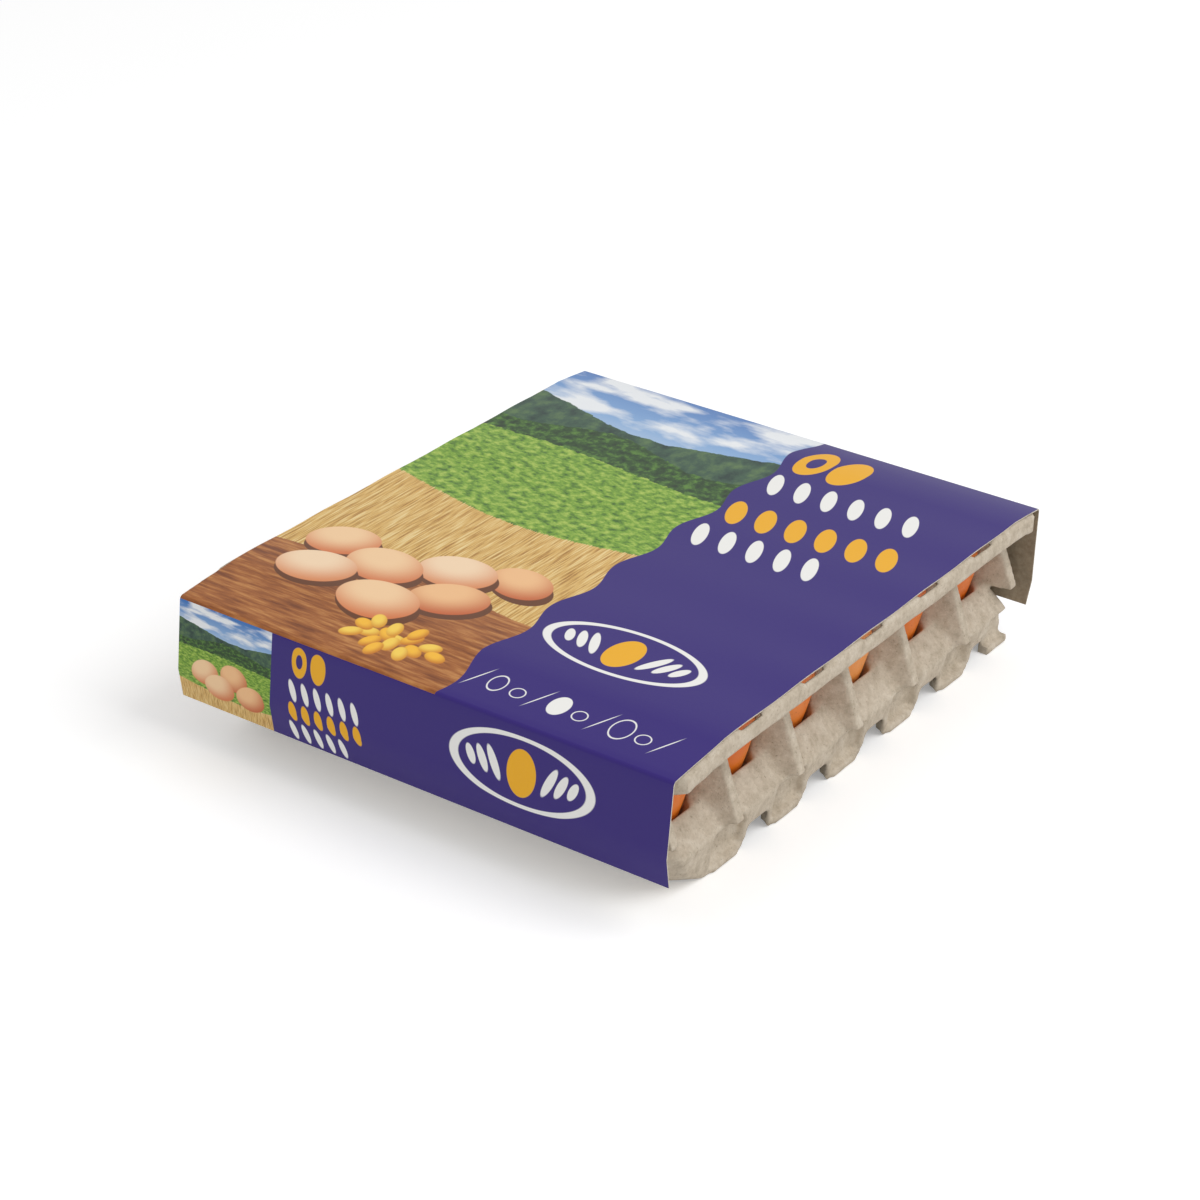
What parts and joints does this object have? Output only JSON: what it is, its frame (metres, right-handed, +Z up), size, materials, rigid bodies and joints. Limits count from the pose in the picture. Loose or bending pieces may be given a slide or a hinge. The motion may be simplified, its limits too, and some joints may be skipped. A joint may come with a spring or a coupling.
{
  "type": "pulp egg tray with card sleeve and eggs",
  "caption": "Moulded pulp tray of egg cups with a windowed, finned outer wall and a turned-down rim, filled with brown eggs and covered by a folded card sleeve with two end flaps.",
  "frame": {"origin": "middle of the underside, where the cups and feet stand", "axes": "+Z up, X across the five columns towards the open windowed sides, Y along the six rows towards the sleeve's flaps"},
  "size_m": [0.256, 0.303, 0.0719],
  "materials": {
    "moulded_pulp": "matte, fibrous",
    "printed_card": "glossy print outside, bare grey-brown inside",
    "egg_shell": "satin"
  },
  "bodies": {
    "root": {"pulp_tray": "moulded_pulp", "card_sleeve": "printed_card", "egg_1_1": "egg_shell", "egg_1_2": "egg_shell", "egg_1_3": "egg_shell", "egg_1_4": "egg_shell", "egg_1_5": "egg_shell", "egg_2_1": "egg_shell", "egg_2_2": "egg_shell", "egg_2_3": "egg_shell", "egg_2_4": "egg_shell", "egg_2_5": "egg_shell", "egg_3_1": "egg_shell", "egg_3_2": "egg_shell", "egg_3_3": "egg_shell", "egg_3_4": "egg_shell", "egg_3_5": "egg_shell", "egg_4_1": "egg_shell", "egg_4_2": "egg_shell", "egg_4_3": "egg_shell", "egg_4_4": "egg_shell", "egg_4_5": "egg_shell", "egg_5_1": "egg_shell", "egg_5_2": "egg_shell", "egg_5_3": "egg_shell", "egg_5_4": "egg_shell", "egg_5_5": "egg_shell", "egg_6_1": "egg_shell", "egg_6_2": "egg_shell", "egg_6_3": "egg_shell", "egg_6_4": "egg_shell", "egg_6_5": "egg_shell"}
  },
  "joints": []
}
